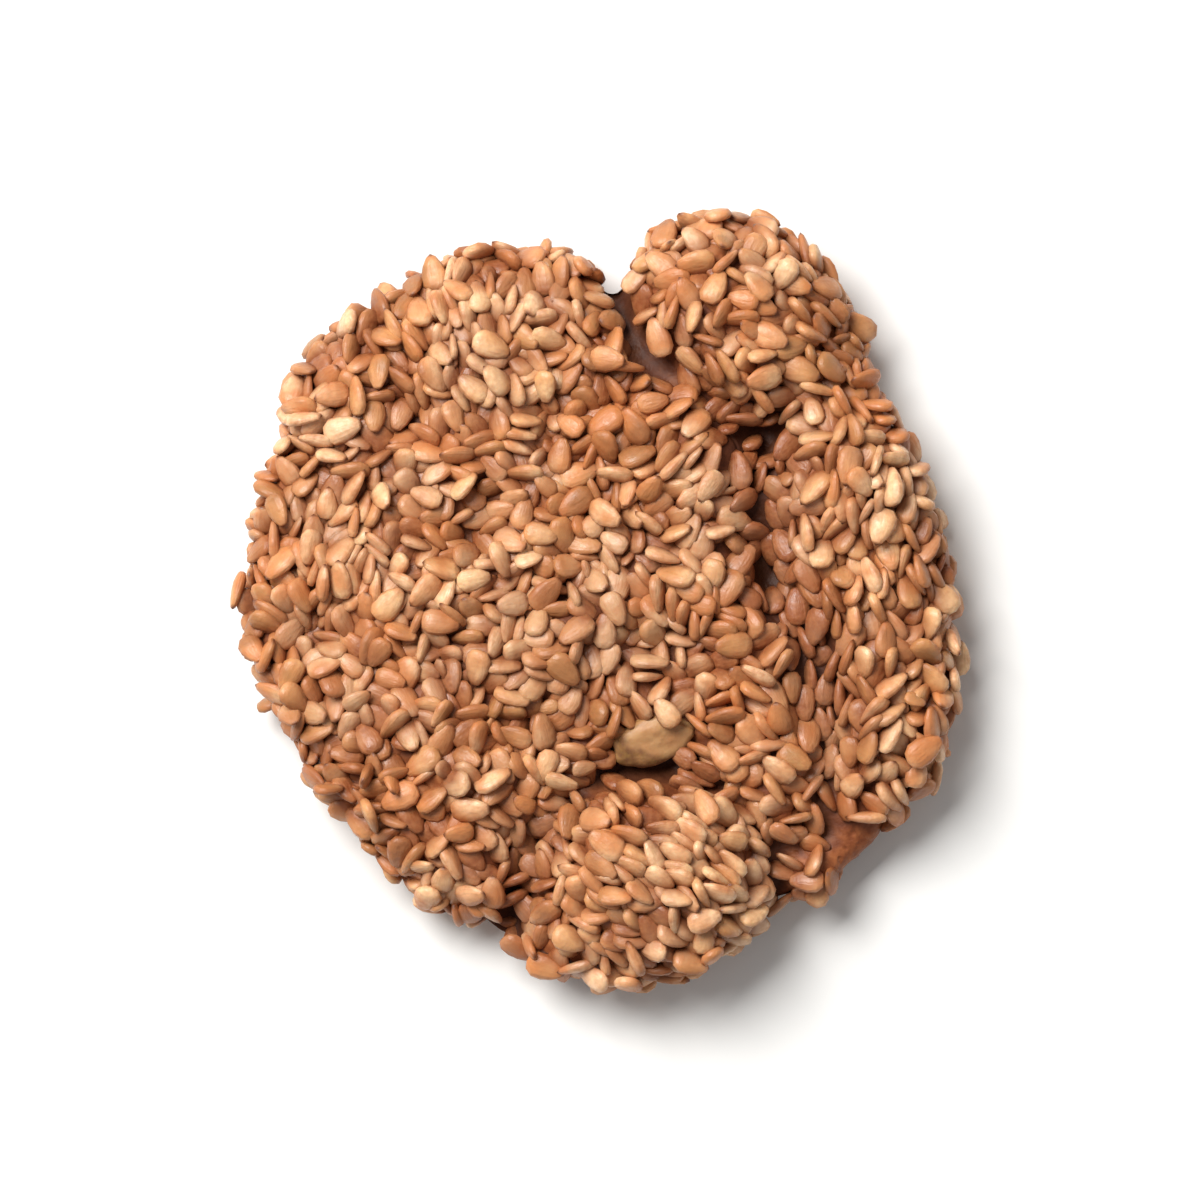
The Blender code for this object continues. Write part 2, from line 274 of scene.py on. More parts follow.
def dough_point(ball, fine):
    """The place on the dough of a point of the unit ball, with or without the fine crumb."""
    angle = math.atan2(ball.y, ball.x)
    share = min(1.0, math.hypot(ball.x, ball.y)) ** SIDE_FULLNESS
    reach = outline_radius(angle) * share
    x = reach * math.cos(angle)
    y = reach * math.sin(angle)
    if ball.z < 0:
        height = base_height(share, angle)
        rough = ease(height / RIM_HEIGHT)
        coated = ease((height - COAT_FOOT[0]) / (COAT_FOOT[1] - COAT_FOOT[0]))
    else:
        rise = ball.z**DOME_FULLNESS
        height = rim_height(angle) + (DOME_HEIGHT - RIM_HEIGHT) * rise
        height += dome_relief(x, y) * ease(rise / RELIEF_ONSET)
        rough = 1.0
        coated = 1.0
    point = Vector((x, y, height))
    outward = Vector((ball.x, ball.y, ball.z * CRAG_LIFT)).normalized()
    swell = rough * bumps(point, CRAGS) - COAT_ROOM * coated
    if fine:
        swell += rough * bumps(point, CRUMB)
    if ball.z < 0:
        point.z += max(0.0, bumps(point, TRAY_HOLLOWS))
    point += outward * swell - OUTLINE_MIDDLE
    point.z = max(DOUGH_LOWEST, point.z)
    return point


def dough_ball(subdivisions, fine):
    """A ball of even triangles moved to the form of the dough."""
    form = bmesh.new()
    bmesh.ops.create_icosphere(form, subdivisions=subdivisions, radius=1.0)
    for vertex in form.verts:
        vertex.co = dough_point(vertex.co.copy(), fine)
    bmesh.ops.recalc_face_normals(form, faces=form.faces)
    for face in form.faces:
        face.smooth = True
    mesh = bpy.data.meshes.new("dough")
    form.to_mesh(mesh)
    form.free()
    # Upward points take painted shade in the creases and pits, with the honey that gathers there
    folds = [fold_depth(vertex.co) if vertex.normal.z > 0 else 0.0 for vertex in mesh.vertices]
    mesh.attributes.new("fold", "FLOAT", "POINT").data.foreach_set("value", folds)
    return mesh


def put_in_scene(name, data):
    """Puts this mesh, light or camera in the scene under this name."""
    made = bpy.data.objects.new(name, data)
    bpy.context.scene.collection.objects.link(made)
    return made


def fill(tree, made, inputs):
    """Links these inputs of a node to other nodes, or sets them to values."""
    for name, value in inputs.items():
        if isinstance(value, bpy.types.NodeSocket):
            tree.links.new(value, made.inputs[name])
        else:
            made.inputs[name].default_value = value


def node(tree, kind, inputs=None, **settings):
    """Adds a node with these settings and inputs."""
    made = tree.nodes.new(kind)
    for name, value in settings.items():
        setattr(made, name, value)
    fill(tree, made, inputs or {})
    return made


def sums(tree, operation, *values):
    """One arithmetic node on these sockets or numbers."""
    return node(tree, "ShaderNodeMath", dict(enumerate(values)), operation=operation).outputs[0]


def speckle(tree, where, size, detail=3.0):
    """Noise from 0 to 1 whose patches are about this size in metres."""
    made = node(tree, "ShaderNodeTexNoise", {"Vector": where, "Scale": 1 / size, "Detail": detail})
    return made.outputs["Fac"]


def ramp(tree, share, *stops):
    """Colours in linear light at these places of a share from 0 to 1."""
    made = node(tree, "ShaderNodeValToRGB", {"Fac": share})
    while len(made.color_ramp.elements) < len(stops):
        made.color_ramp.elements.new(0.5)
    for element, (place, colour) in zip(made.color_ramp.elements, stops):
        element.position = place
        element.color = (*colour, 1.0)
    return made.outputs["Color"]


def blend_of(tree, share, first, second):
    """A colour between first and second by share."""
    inputs = {0: share}
    for place, end in ((6, first), (7, second)):
        inputs[place] = (*end, 1.0) if isinstance(end, tuple) else end
    return node(tree, "ShaderNodeMix", inputs, data_type="RGBA").outputs[2]


def new_finish(name):
    """A material with its node tree and its surface shader."""
    material = bpy.data.materials.new(name)
    material.use_nodes = True
    return material, material.node_tree, material.node_tree.nodes["Principled BSDF"]


def map_range(tree, value, start, end, low=0.0, high=1.0):
    """The value moved from the range start..end to low..high and kept inside it."""
    made = node(tree, "ShaderNodeMapRange", {0: value, 1: start, 2: end, 3: low, 4: high})
    return made.outputs[0]


def carried(tree, name):
    """The number of this name that the piece carries on its points."""
    return node(tree, "ShaderNodeAttribute", attribute_name=name).outputs["Fac"]


def dough_finish():
    """Reddish honey-baked dough on top; golden, drier and finely cracked underneath."""
    material, tree, shader = new_finish("baked dough")
    where = node(tree, "ShaderNodeTexCoord").outputs["Object"]
    mottle = speckle(tree, where, 6 * MM)
    grain = speckle(tree, where, 0.8 * MM, 5.0)
    tone = sums(tree, "MULTIPLY_ADD", grain, 0.5, sums(tree, "MULTIPLY", mottle, 0.5))
    top = ramp(
        tree,
        tone,
        (0.3, (0.085, 0.02, 0.007)),
        (0.46, (0.19, 0.05, 0.016)),
        (0.6, (0.33, 0.105, 0.035)),
        (0.74, (0.52, 0.22, 0.085)),
    )
    # Painted shade down in the creases and pits, with the honey that gathers there
    fold = carried(tree, "fold")
    top = blend_of(tree, sums(tree, "MULTIPLY", fold, 0.85), top, CREASE_SHADE_BROWN)
    x, y, height = node(tree, "ShaderNodeSeparateXYZ", {0: where}).outputs
    across = node(tree, "ShaderNodeCombineXYZ", {0: x, 1: y}).outputs[0]
    reach = node(tree, "ShaderNodeVectorMath", {0: across}, operation="LENGTH").outputs["Value"]
    scorch = sums(tree, "ADD", map_range(tree, reach, *SCORCH_RING, 0.0, 0.42), tone)
    under = ramp(
        tree,
        scorch,
        (0.36, (0.66, 0.37, 0.15)),
        (0.52, (0.52, 0.25, 0.088)),
        (0.68, (0.36, 0.145, 0.045)),
        (0.9, (0.19, 0.062, 0.018)),
    )
    twisted = node(tree, "ShaderNodeTexNoise", {"Vector": where, "Scale": 1 / (3 * MM)})
    bent = node(
        tree,
        "ShaderNodeVectorMath",
        {0: twisted.outputs["Color"], 1: (2 * MM, 2 * MM, 2 * MM), 2: where},
        operation="MULTIPLY_ADD",
    )
    cells = node(
        tree,
        "ShaderNodeTexVoronoi",
        {"Vector": bent.outputs[0], "Scale": 1 / (5 * MM)},
        feature="DISTANCE_TO_EDGE",
    )
    crack = map_range(tree, cells.outputs["Distance"], 0.0, 0.045, 1.0, 0.0)
    parted = map_range(tree, speckle(tree, where, 5 * MM, 2.0), 0.48, 0.6)
    crack = sums(tree, "MULTIPLY", crack, parted)
    holes = node(tree, "ShaderNodeTexVoronoi", {"Vector": bent.outputs[0], "Scale": 1 / (1.3 * MM)})
    pore = map_range(tree, holes.outputs["Distance"], 0.1, 0.24, 1.0, 0.0)
    pore = sums(tree, "MULTIPLY", pore, map_range(tree, mottle, 0.42, 0.56))
    # Cracks and pores, sunk by the bump, take painted shade
    crack_and_pore_shade = sums(tree, "MAXIMUM", crack, pore)
    under = blend_of(tree, sums(tree, "MULTIPLY", crack_and_pore_shade, 0.7), under, CRACK_SHADE_BROWN)
    above = map_range(tree, height, *TOP_FROM)
    gloss = sums(tree, "MULTIPLY", above, map_range(tree, mottle, 0.35, 0.65, 0.04, 0.2))
    pores = sums(tree, "SUBTRACT", speckle(tree, where, 0.4 * MM, 6.0), crack_and_pore_shade)
    bump = node(tree, "ShaderNodeBump", {"Height": pores, "Strength": 0.6, "Distance": 0.15 * MM})
    inputs = {
        "Base Color": blend_of(tree, above, under, top),
        "Roughness": sums(tree, "SUBTRACT", 0.66, gloss),
        "Specular IOR Level": 0.25,
        "Normal": bump.outputs[0],
    }
    fill(tree, shader, inputs)
    return material


dough = put_in_scene("dough", dough_ball(DOUGH_SUBDIVISIONS, True))
dough.data.materials.append(dough_finish())
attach(dough, "root")
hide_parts("biscuit")


# Chopped pistachio: shelled kernels cut into angular bits. The dough is laid on them before its top
# is pressed in sesame, so most are baked into its underside, some into the foot of its rim and one
# into its dome. They show pale cut nut, and here and there the darker skin of the kernel.
CHIP_LENGTH = 5.4 * MM
CHIP_WIDTH = 3.4 * MM
CHIP_THICKNESS = 2.4 * MM
CHIP_KINDS = 12
CHIP_CUTS = 7
CHIP_CUT_DEPTHS = (0.5, 0.95)
CHIP_EDGE_SHARPNESS = 48
CHIP_ROUGHNESS = ((0.55, 0.12), (0.2, 0.05))
CHIP_KIND_SPACING = 7.0
CHIP_SUBDIVISIONS = 4
CHIP_DRAWS = 5

# How far from its middle a chip has the kernel's skin, and over how much the skin comes in
CHIP_SKIN = (0.93, 0.05)

# Chips under the biscuit: height; of each, direction in degrees, share of the way out, heading
BASE_CHIP_HEIGHT = 0.6 * MM
BASE_CHIPS = (
    (8.0, 0.70, 60.0),
    (46.0, 0.56, -20.0),
    (81.0, 0.74, 35.0),
    (123.0, 0.60, 80.0),
    (152.0, 0.76, -50.0),
    (196.0, 0.58, 10.0),
    (229.0, 0.72, -75.0),
    (262.0, 0.60, 45.0),
    (291.0, 0.75, -10.0),
    (327.0, 0.57, 70.0),
)

# Smaller bits between them: how many, their sizes as shares of a chip, the ring they lie in, how
# clear of each other they are, how high, and how far they tip, in radians
SMALL_CHIPS = 84
SMALL_CHIP_SIZES = (0.22, 0.78)
SMALL_CHIP_RING = (0.04, 0.86)
SMALL_CHIP_CLEAR = 1.9 * MM
SMALL_CHIP_HEIGHT = 0.3 * MM
SMALL_CHIP_TIP = 0.5

# The low lip of dough round each chip: how far it reaches past the chip, height, the radius of the
# chip's foot as a share of its mean size, and how the lips of small chips keep their height
CHIP_LIP = (0.9 * MM, 0.35 * MM)
CHIP_FOOT = 0.38
SMALL_LIP_HEIGHT = 1.6
SMALL_LIP_LEAST = 0.5

# Chips at the foot of the rim: share of the way out; of each, direction in degrees, height, lean
RIM_CHIP_SHARE = 0.93
RIM_CHIPS = (
    (38.0, 2.2 * MM, 14.0),
    (164.0, 2.3 * MM, -12.0),
    (214.0, 2.0 * MM, 10.0),
    (318.0, 2.1 * MM, -16.0),
)

# The chip on the dome: middle x and y, heading, how high its middle is over the dough, which of the
# kinds it is, how roasted it is from 0 to 1, and its size as a share of a chip
DOME_CHIP = (2.8 * MM, -9.6 * MM)
DOME_CHIP_HEADING = 17.0
DOME_CHIP_LIFT = 0.35 * MM
DOME_CHIP_KIND = 8
DOME_CHIP_ROAST = 0.58
DOME_CHIP_SIZE = 1.2


def chopped_kernel(number, draws):
    """One kind of chip: a ball cut off by several planes, rough where it was cut."""
    form = bmesh.new()
    bmesh.ops.create_icosphere(form, subdivisions=CHIP_SUBDIVISIONS, radius=1.0)
    ways = np.array([vertex.co for vertex in form.verts])
    skin_side = draws.normal(size=3)
    planes = draws.normal(size=(CHIP_CUTS, 3))
    planes -= skin_side * np.clip(planes @ skin_side, 0.0, None)[:, None] / (skin_side @ skin_side)
    planes /= np.linalg.norm(planes, axis=1, keepdims=True)
    depths = draws.uniform(*CHIP_CUT_DEPTHS, CHIP_CUTS)
    facing = np.clip(ways @ planes.T, 1e-3, None)
    reaches = np.column_stack([np.ones(len(ways)), depths / facing])
    reach = (reaches**-CHIP_EDGE_SHARPNESS).sum(axis=1) ** (-1 / CHIP_EDGE_SHARPNESS)
    size = np.array((CHIP_LENGTH, CHIP_WIDTH, CHIP_THICKNESS)) / 2
    places = ways * reach[:, None]
    for vertex, place, way in zip(form.verts, places, ways):
        aside = Vector((number * CHIP_KIND_SPACING, 0.0, 0.0))
        rough = sum(
            height * noise.noise(Vector(place) / step + aside) for step, height in CHIP_ROUGHNESS
        )
        vertex.co = Vector((place + way * rough) * size)
    for face in form.faces:
        face.smooth = True
    mesh = bpy.data.meshes.new("chopped kernel")
    form.to_mesh(mesh)
    form.free()
    skin = np.clip((reach - CHIP_SKIN[0]) / CHIP_SKIN[1], 0.0, 1.0)
    mesh.attributes.new("skin", "FLOAT", "POINT").data.foreach_set("value", skin)
    return mesh


def chip_kinds():
    """A collection of the kinds of chip that the biscuit's chips are picked from."""
    draws = np.random.default_rng(CHIP_DRAWS)
    kinds = bpy.data.collections.new("kinds of chip")
    for number in range(CHIP_KINDS):
        kinds.objects.link(bpy.data.objects.new("kind of chip", chopped_kernel(number, draws)))
    return kinds


def rim_place(direction, share, height):
    """The point at this height, this share of the way from the middle to the rim."""
    angle = math.radians(direction)
    reach = outline_radius(angle) * share
    return Vector((reach * math.cos(angle), reach * math.sin(angle), height)) - OUTLINE_MIDDLE


def chip_matrices(ground):
    """Where each chip lies, how it is turned and how big it is: the large ones, then the small."""
    laid = []
    for direction, share, heading in BASE_CHIPS:
        turn = Matrix.Rotation(math.radians(heading), 4, "Z")
        laid.append((rim_place(direction, share, BASE_CHIP_HEIGHT), turn, 1.0))
    for direction, height, lean in RIM_CHIPS:
        along_rim = Matrix.Rotation(math.radians(direction + 90), 4, "Z")
        turn = along_rim @ Matrix.Rotation(math.radians(lean), 4, "Y")
        laid.append((rim_place(direction, RIM_CHIP_SHARE, height), turn, 1.0))
    above = Vector((*DOME_CHIP, 2 * DOME_HEIGHT)) - OUTLINE_MIDDLE
    place, normal, _, _ = ground.ray_cast(above, Vector((0, 0, -1)))
    turn = normal.to_track_quat("Z", "Y").to_matrix().to_4x4()
    turn = turn @ Matrix.Rotation(math.radians(DOME_CHIP_HEADING), 4, "Z")
    cut_side_up = Matrix.Rotation(math.pi, 4, "X")
    laid.append((place + normal * DOME_CHIP_LIFT, turn @ cut_side_up, DOME_CHIP_SIZE))
    draws = random.Random(CHIP_DRAWS)
    small = 0
    while small < SMALL_CHIPS:
        share = math.sqrt(draws.uniform(SMALL_CHIP_RING[0] ** 2, SMALL_CHIP_RING[1] ** 2))
        place = rim_place(draws.uniform(0.0, 360.0), share, SMALL_CHIP_HEIGHT)
        size = draws.uniform(*SMALL_CHIP_SIZES)
        clear = [
            (place - other).length > SMALL_CHIP_CLEAR * (size + scale) for other, _, scale in laid
        ]
        if all(clear):
            turn = Matrix.Rotation(draws.uniform(0.0, 2 * math.pi), 4, "Z")
            tip = Matrix.Rotation(draws.uniform(-SMALL_CHIP_TIP, SMALL_CHIP_TIP), 4, "X")
            laid.append((place, turn @ tip, size))
            small += 1
    return laid


def point_mesh(name, places, **values):
    """A mesh of loose points that carry these values: three numbers each, or one."""
    mesh = bpy.data.meshes.new(name)
    mesh.from_pydata([tuple(place) for place in places], [], [])
    for label, value in values.items():
        value = np.array(value, dtype=float)
        kind, slot = ("FLOAT_VECTOR", "vector") if value.ndim == 2 else ("FLOAT", "value")
        mesh.attributes.new(label, kind, "POINT").data.foreach_set(slot, value.ravel())
    return mesh


def new_maker(name, inputs):
    """A Geometry Nodes tree with these named inputs, and its input and output nodes."""
    tree = bpy.data.node_groups.new(name, "GeometryNodeTree")
    tree.interface.new_socket("Geometry", in_out="INPUT", socket_type="NodeSocketGeometry")
    for label, kind in inputs:
        tree.interface.new_socket(label, in_out="INPUT", socket_type=kind)
    tree.interface.new_socket("Geometry", in_out="OUTPUT", socket_type="NodeSocketGeometry")
    return tree, node(tree, "NodeGroupInput").outputs, node(tree, "NodeGroupOutput")


def made_by(tree, name, points, values):
    """The plain mesh that the tree makes of the points with these input values."""
    maker = put_in_scene(name, points)
    modifier = maker.modifiers.new(name, "NODES")
    modifier.node_group = tree
    for item in tree.interface.items_tree:
        if item.in_out == "INPUT" and item.name in values:
            modifier[item.identifier] = values[item.name]
    graph = bpy.context.evaluated_depsgraph_get()
    mesh = bpy.data.meshes.new_from_object(maker.evaluated_get(graph))
    maker.modifiers.clear()
    maker.data = mesh
    return maker


def value_on_points(tree, name, kind):
    """The value of this name that the points carry."""
    return node(tree, "GeometryNodeInputNamedAttribute", {"Name": name}, data_type=kind).outputs[0]


def laid_on_points(tree, given, instance, **picked):
    """Real copies of the instance on the points, turned and sized as each point says."""
    laid = node(
        tree,
        "GeometryNodeInstanceOnPoints",
        {
            "Points": given["Geometry"],
            "Instance": instance,
            "Rotation": value_on_points(tree, "turn", "FLOAT_VECTOR"),
            "Scale": value_on_points(tree, "size", "FLOAT"),
            **picked,
        },
    )
    return node(tree, "GeometryNodeRealizeInstances", {0: laid.outputs[0]}).outputs[0]


def send_out(tree, given, result, mesh):
    """Gives the mesh its finish and makes it what the tree returns."""
    inputs = {"Geometry": mesh, "Material": given["Finish"]}
    coloured = node(tree, "GeometryNodeSetMaterial", inputs)
    tree.links.new(coloured.outputs[0], result.inputs[0])


def chip_maker():
    """The tree that puts a chip of its own kind at each point, pressed flat by the tray below."""
    tree, given, result = new_maker(
        "chopped pistachio",
        (
            ("Kinds of chip", "NodeSocketCollection"),
            ("Tray height", "NodeSocketFloat"),
            ("Finish", "NodeSocketMaterial"),
        ),
    )
    kinds = node(
        tree,
        "GeometryNodeCollectionInfo",
        {"Collection": given["Kinds of chip"], "Separate Children": True, "Reset Children": True},
    )
    picked = {"Pick Instance": True, "Instance Index": value_on_points(tree, "kind", "FLOAT")}
    real = laid_on_points(tree, given, kinds.outputs[0], **picked)
    place = node(tree, "GeometryNodeInputPosition").outputs[0]
    x, y, z = node(tree, "ShaderNodeSeparateXYZ", {0: place}).outputs
    z = sums(tree, "MAXIMUM", z, given["Tray height"])
    flat = node(tree, "ShaderNodeCombineXYZ", {0: x, 1: y, 2: z}).outputs[0]
    pressed = node(tree, "GeometryNodeSetPosition", {"Geometry": real, "Position": flat})
    send_out(tree, given, result, pressed.outputs[0])
    return tree


def pistachio_finish():
    """Baked pistachio: amber-olive cut nut, a little see-through, with dull purple-brown skin."""
    material, tree, shader = new_finish("baked pistachio")
    where = node(tree, "ShaderNodeTexCoord").outputs["Object"]
    skin = carried(tree, "skin")
    roast = carried(tree, "roast")
    mottle = speckle(tree, where, 1.3 * MM, 4.0)
    tone = sums(tree, "MULTIPLY_ADD", roast, 0.55, sums(tree, "MULTIPLY", mottle, 0.5))
    nut = ramp(
        tree,
        tone,
        (0.22, (0.5, 0.37, 0.13)),
        (0.4, (0.52, 0.3, 0.13)),
        (0.66, (0.43, 0.2, 0.078)),
        (0.9, (0.27, 0.1, 0.033)),
    )
    skin_tone = ramp(
        tree,
        speckle(tree, where, 0.7 * MM, 5.0),
        (0.35, (0.11, 0.04, 0.022)),
        (0.6, (0.24, 0.13, 0.04)),
    )
    skin_left = sums(tree, "MULTIPLY_ADD", speckle(tree, where, 1.6 * MM), 2.4, -0.6)
    skin_left = node(tree, "ShaderNodeClamp", {0: sums(tree, "MULTIPLY", skin_left, skin)})
    grain = speckle(tree, where, 0.5 * MM, 6.0)
    bump = node(tree, "ShaderNodeBump", {"Height": grain, "Strength": 0.6, "Distance": 0.12 * MM})
    inputs = {
        "Base Color": blend_of(tree, skin_left.outputs[0], nut, skin_tone),
        "Roughness": 0.5,
        "Subsurface Weight": 0.12,
        "Subsurface Radius": (1.0 * MM, 0.6 * MM, 0.2 * MM),
        "Subsurface Scale": 1.0,
        "Normal": bump.outputs[0],
    }
    fill(tree, shader, inputs)
    return material


def lip_round_chips(dough, laid):
    """Raises the underside's dough in a low lip round each chip that is pressed into it."""
    margin, height = CHIP_LIP
    tree = kdtree.KDTree(len(laid))
    for number, (place, _, _) in enumerate(laid):
        tree.insert((place.x, place.y, 0.0), number)
    tree.balance()
    underside = [vertex for vertex in dough.data.vertices if vertex.normal.z < -0.5]
    for vertex in underside:
        _, number, away = tree.find((vertex.co.x, vertex.co.y, 0.0))
        size = laid[number][2]
        past = away - CHIP_FOOT * (CHIP_LENGTH + CHIP_WIDTH) / 2 * size
        lip = bell(past, margin * max(SMALL_LIP_LEAST, size) / 2)
        lip *= height * min(1.0, SMALL_LIP_HEIGHT * size)
        vertex.co.z = max(DOUGH_LOWEST, vertex.co.z - lip)


bed_mesh = dough_ball(BED_SUBDIVISIONS, False)
bed_mesh.calc_loop_triangles()
bed_points = [vertex.co.copy() for vertex in bed_mesh.vertices]
bed_faces = [tuple(triangle.vertices) for triangle in bed_mesh.loop_triangles]
bed = BVHTree.FromPolygons(bed_points, bed_faces)

chips_laid = chip_matrices(bed)
lip_round_chips(dough, [chip for chip in chips_laid if chip[0].z < 2 * BASE_CHIP_HEIGHT])
kinds_of_chip = chip_kinds()
chip_roasts = np.random.default_rng(CHIP_DRAWS).random(len(chips_laid))
chip_numbers = np.arange(len(chips_laid)) % CHIP_KINDS
dome_chip = len(BASE_CHIPS) + len(RIM_CHIPS)
chip_roasts[dome_chip] = DOME_CHIP_ROAST
chip_numbers[dome_chip] = DOME_CHIP_KIND
pistachio = made_by(
    chip_maker(),
    "pistachio",
    point_mesh(
        "chip points",
        [place for place, _, _ in chips_laid],
        turn=[turn.to_euler() for _, turn, _ in chips_laid],
        size=[size for _, _, size in chips_laid],
        kind=chip_numbers,
        roast=chip_roasts,
    ),
    {"Kinds of chip": kinds_of_chip, "Tray height": 0.0, "Finish": pistachio_finish()},
)
for kind in list(kinds_of_chip.objects):
    bpy.data.objects.remove(kind)
bpy.data.collections.remove(kinds_of_chip)
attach(pistachio, "root")


# The sesame coat: 1,900 hulled seeds, toasted golden, that stick to the dough where it was pressed
# into a dish of them. They lie every way, one to three deep, and rest on each other.
SEED_COUNT = 1900
SEED_LENGTH = 3.05 * MM
SEED_WIDTH = 2.05 * MM
SEED_THICKNESS = 0.88 * MM
SEED_SHAPE = {
    "Seed length": SEED_LENGTH,
    "Seed width": SEED_WIDTH,
    "Seed thickness": SEED_THICKNESS,
    "Tip narrowing": 0.25,
    "Tip reach": 0.09,
    "Face flatness": 0.72,
    "Dent depth": 0.16 * MM,
    "Dent size": 1.4 * MM,
}
SEED_FACES = {"Sides": 10, "Rings": 6}
SEED_TRIES = 10
SEED_DRAWS = 23

# Least and greatest size of a whole seed; share of broken ones, and their least and greatest size
SEED_SIZES = (0.78, 1.03)
BROKEN_SEEDS = (0.08, 0.55, 0.8)

# How seeds lean from flat: slope across and along most of them, and the share that lies on edge
# with its least and greatest slope
SEED_ROLL = math.tan(math.radians(30))
SEED_PITCH = math.tan(math.radians(25))
SEEDS_ON_EDGE = (0.28, 1.1, 3.0)

# Share of seeds in the lower layer, and how much higher the others start
SEED_SECOND_LAYER = (0.6, 0.9 * MM)

# How deep seeds sink in the dough, and how much of their thickness keeps them apart where they
# are pressed together
SEED_SUNK = 0.3 * MM
SEED_STICK = 0.83

# How far over the tray seeds stay, and how far they may pass the biscuit's outer size
SEED_TRAY_GAP = 0.25 * MM
SEED_HEADROOM = 0.15 * MM
SEED_OVERHANG = 0.5 * MM

# Where the dough shows bare between the seeds: middle x, middle y, radius, in millimetres
BARE_PATCHES = in_metres(
    3,
    (17.0, -17.2, 3.6),
    (-0.2, 25.8, 3.0),
    (0.3, 22.4, 2.4),
    (2.0, 19.0, 1.8),
    (3.2, 17.2, 1.4),
    (12.0, 12.4, 2.6),
    (7.2, 11.2, 1.3),
    (11.3, 2.6, 1.8),
    (-14.4, 13.6, 1.6),
    (-9.2, 7.8, 1.5),
    (-10.4, 4.4, 1.4),
    (2.8, -9.9, 2.8),
    (1.1, -12.4, 1.9),
    (3.3, -12.5, 1.9),
)

# Where the coat thins out: at what share of a bare patch's radius, how near a rim chip, at what
# depth of a crease, and how bare the crease gets
BARE_PATCH_START = 0.6
RIM_CHIP_BARE = 0.4
CREASE_BARE = 1.0 * MM
CREASE_BARE_START = 0.5
CREASE_BARENESS = 0.9

# Where the honey is thick and the seeds are more orange, or thin and they are paler, and where
# painted light makes them paler on slopes that turn from the lamp: middle x, middle y, radius, in
# millimetres, and how much
HONEY_AND_LIGHT_SPOTS = in_metres(
    3,
    (0.8, 13.4, 4.8, 0.6),
    (8.2, -1.0, 3.8, 0.6),
    (0.0, -4.4, 4.0, -0.6),
    (-16.0, 14.0, 3.5, 0.5),
    (19.5, 15.0, 3.0, 0.6),
    (17.0, -17.0, 4.0, 0.6),
    (-21.0, -3.5, 4.0, 0.6),
    (8.0, 23.0, 3.0, 0.5),
    (-8.0, 17.8, 4.8, -0.7),
    (5.2, 5.4, 3.8, -0.8),
    (-9.5, -2.0, 6.4, -0.5),
    (-4.6, -2.8, 4.0, -0.8),
    # Painted light: paler seeds on the lower right of the bottom lobe, which turns from the lamp
    (8.0, -23.0, 6.0, -1.0),
    (18.6, 10.0, 4.0, -0.5),
    # Painted light: paler seeds on the edge of the right flap
    (22.5, 4.6, 4.0, -0.7),
    (-17.0, 9.0, 4.0, -0.4),
)

# Where seeds were pressed in standing, so that more of them lie on edge and side by side: middle x,
# middle y, radius, in millimetres, how much more, and heading in degrees; then how strongly they
# turn to that heading
STANDING_SEEDS = in_metres(
    3,
    (5.5, -17.5, 8.0, 0.4, -35.0),
    (19.0, 3.0, 6.0, 0.35, 86.0),
    (15.5, -5.0, 5.0, 0.3, 84.0),
    (13.5, 19.5, 4.0, 0.3, -15.0),
    (7.0, 10.0, 4.0, 0.25, 40.0),
    (2.0, 1.0, 4.0, 0.2, -60.0),
    (-12.0, 18.0, 5.0, 0.15, -70.0),
    (-20.5, 3.0, 4.0, 0.25, 80.0),
)
SEED_COMBING = 2.0

# Beads that stand for a seed while it settles: along it, across it, radius, as shares of a seed.
# Those that stand for a chip lie along it.
SEED_BEADS = (
    (-0.66, 0.0, 0.92),
    (-0.32, 0.5, 0.95),
    (-0.32, -0.5, 0.95),
    (0.0, 0.0, 1.0),
    (0.2, 0.42, 0.9),
    (0.2, -0.42, 0.9),
    (0.52, 0.0, 0.9),
    (0.82, 0.0, 0.55),
)
CHIP_BEADS = (-0.3 * CHIP_LENGTH, 0.0, 0.3 * CHIP_LENGTH)
CHIP_BEAD_RADIUS = 0.4 * CHIP_WIDTH

# How seeds settle: steps, sink in each, turning back to their lean, steps between looks for
# neighbours, how near those are in seed lengths, and how much of each overlap a step clears
SETTLE_STEPS = 110
SETTLE_PULL = 0.03 * MM
SETTLE_FLATTEN = 0.05
SETTLE_REFRESH = 10
SETTLE_REACH = 1.1
SETTLE_EASING = 1.3

# Colours of the seeds: paler straw of some, honey in drips, edges and tips, the painted shade low
# between the seeds and down in the creases, in a deep honey brown, fine streaks, and the scar of
# the stalk
STRAW = (0.76, 0.50, 0.19)
HONEY_ORANGE = (0.6, 0.21, 0.066)
EDGE_BROWN = (0.34, 0.10, 0.032)
HONEY_BROWN_SHADE = (0.21, 0.052, 0.017)
STREAK_BROWN = (0.46, 0.18, 0.066)
SCAR_BROWN = (0.13, 0.04, 0.015)


def coat_share(place, normal):
    """How likely a seed sticks here: all over the dome and rim, less in creases and at chips."""
    share = ease((place.z - COAT_FOOT[0]) / (COAT_FOOT[1] - COAT_FOOT[0])) if normal.z < 0 else 1.0
    spot = place + OUTLINE_MIDDLE
    for middle_x, middle_y, radius in BARE_PATCHES:
        away = math.hypot(spot.x - middle_x, spot.y - middle_y)
        share *= ease(away / radius - BARE_PATCH_START)
    for direction, height, _ in RIM_CHIPS:
        away = place - rim_place(direction, RIM_CHIP_SHARE, height)
        share *= ease(away.length / CHIP_LENGTH * 2 - RIM_CHIP_BARE)
    sunk = -min(crease_relief(crease, spot.x, spot.y) for crease in CREASES)
    return share * (1.0 - CREASE_BARENESS * ease(sunk / CREASE_BARE - CREASE_BARE_START))


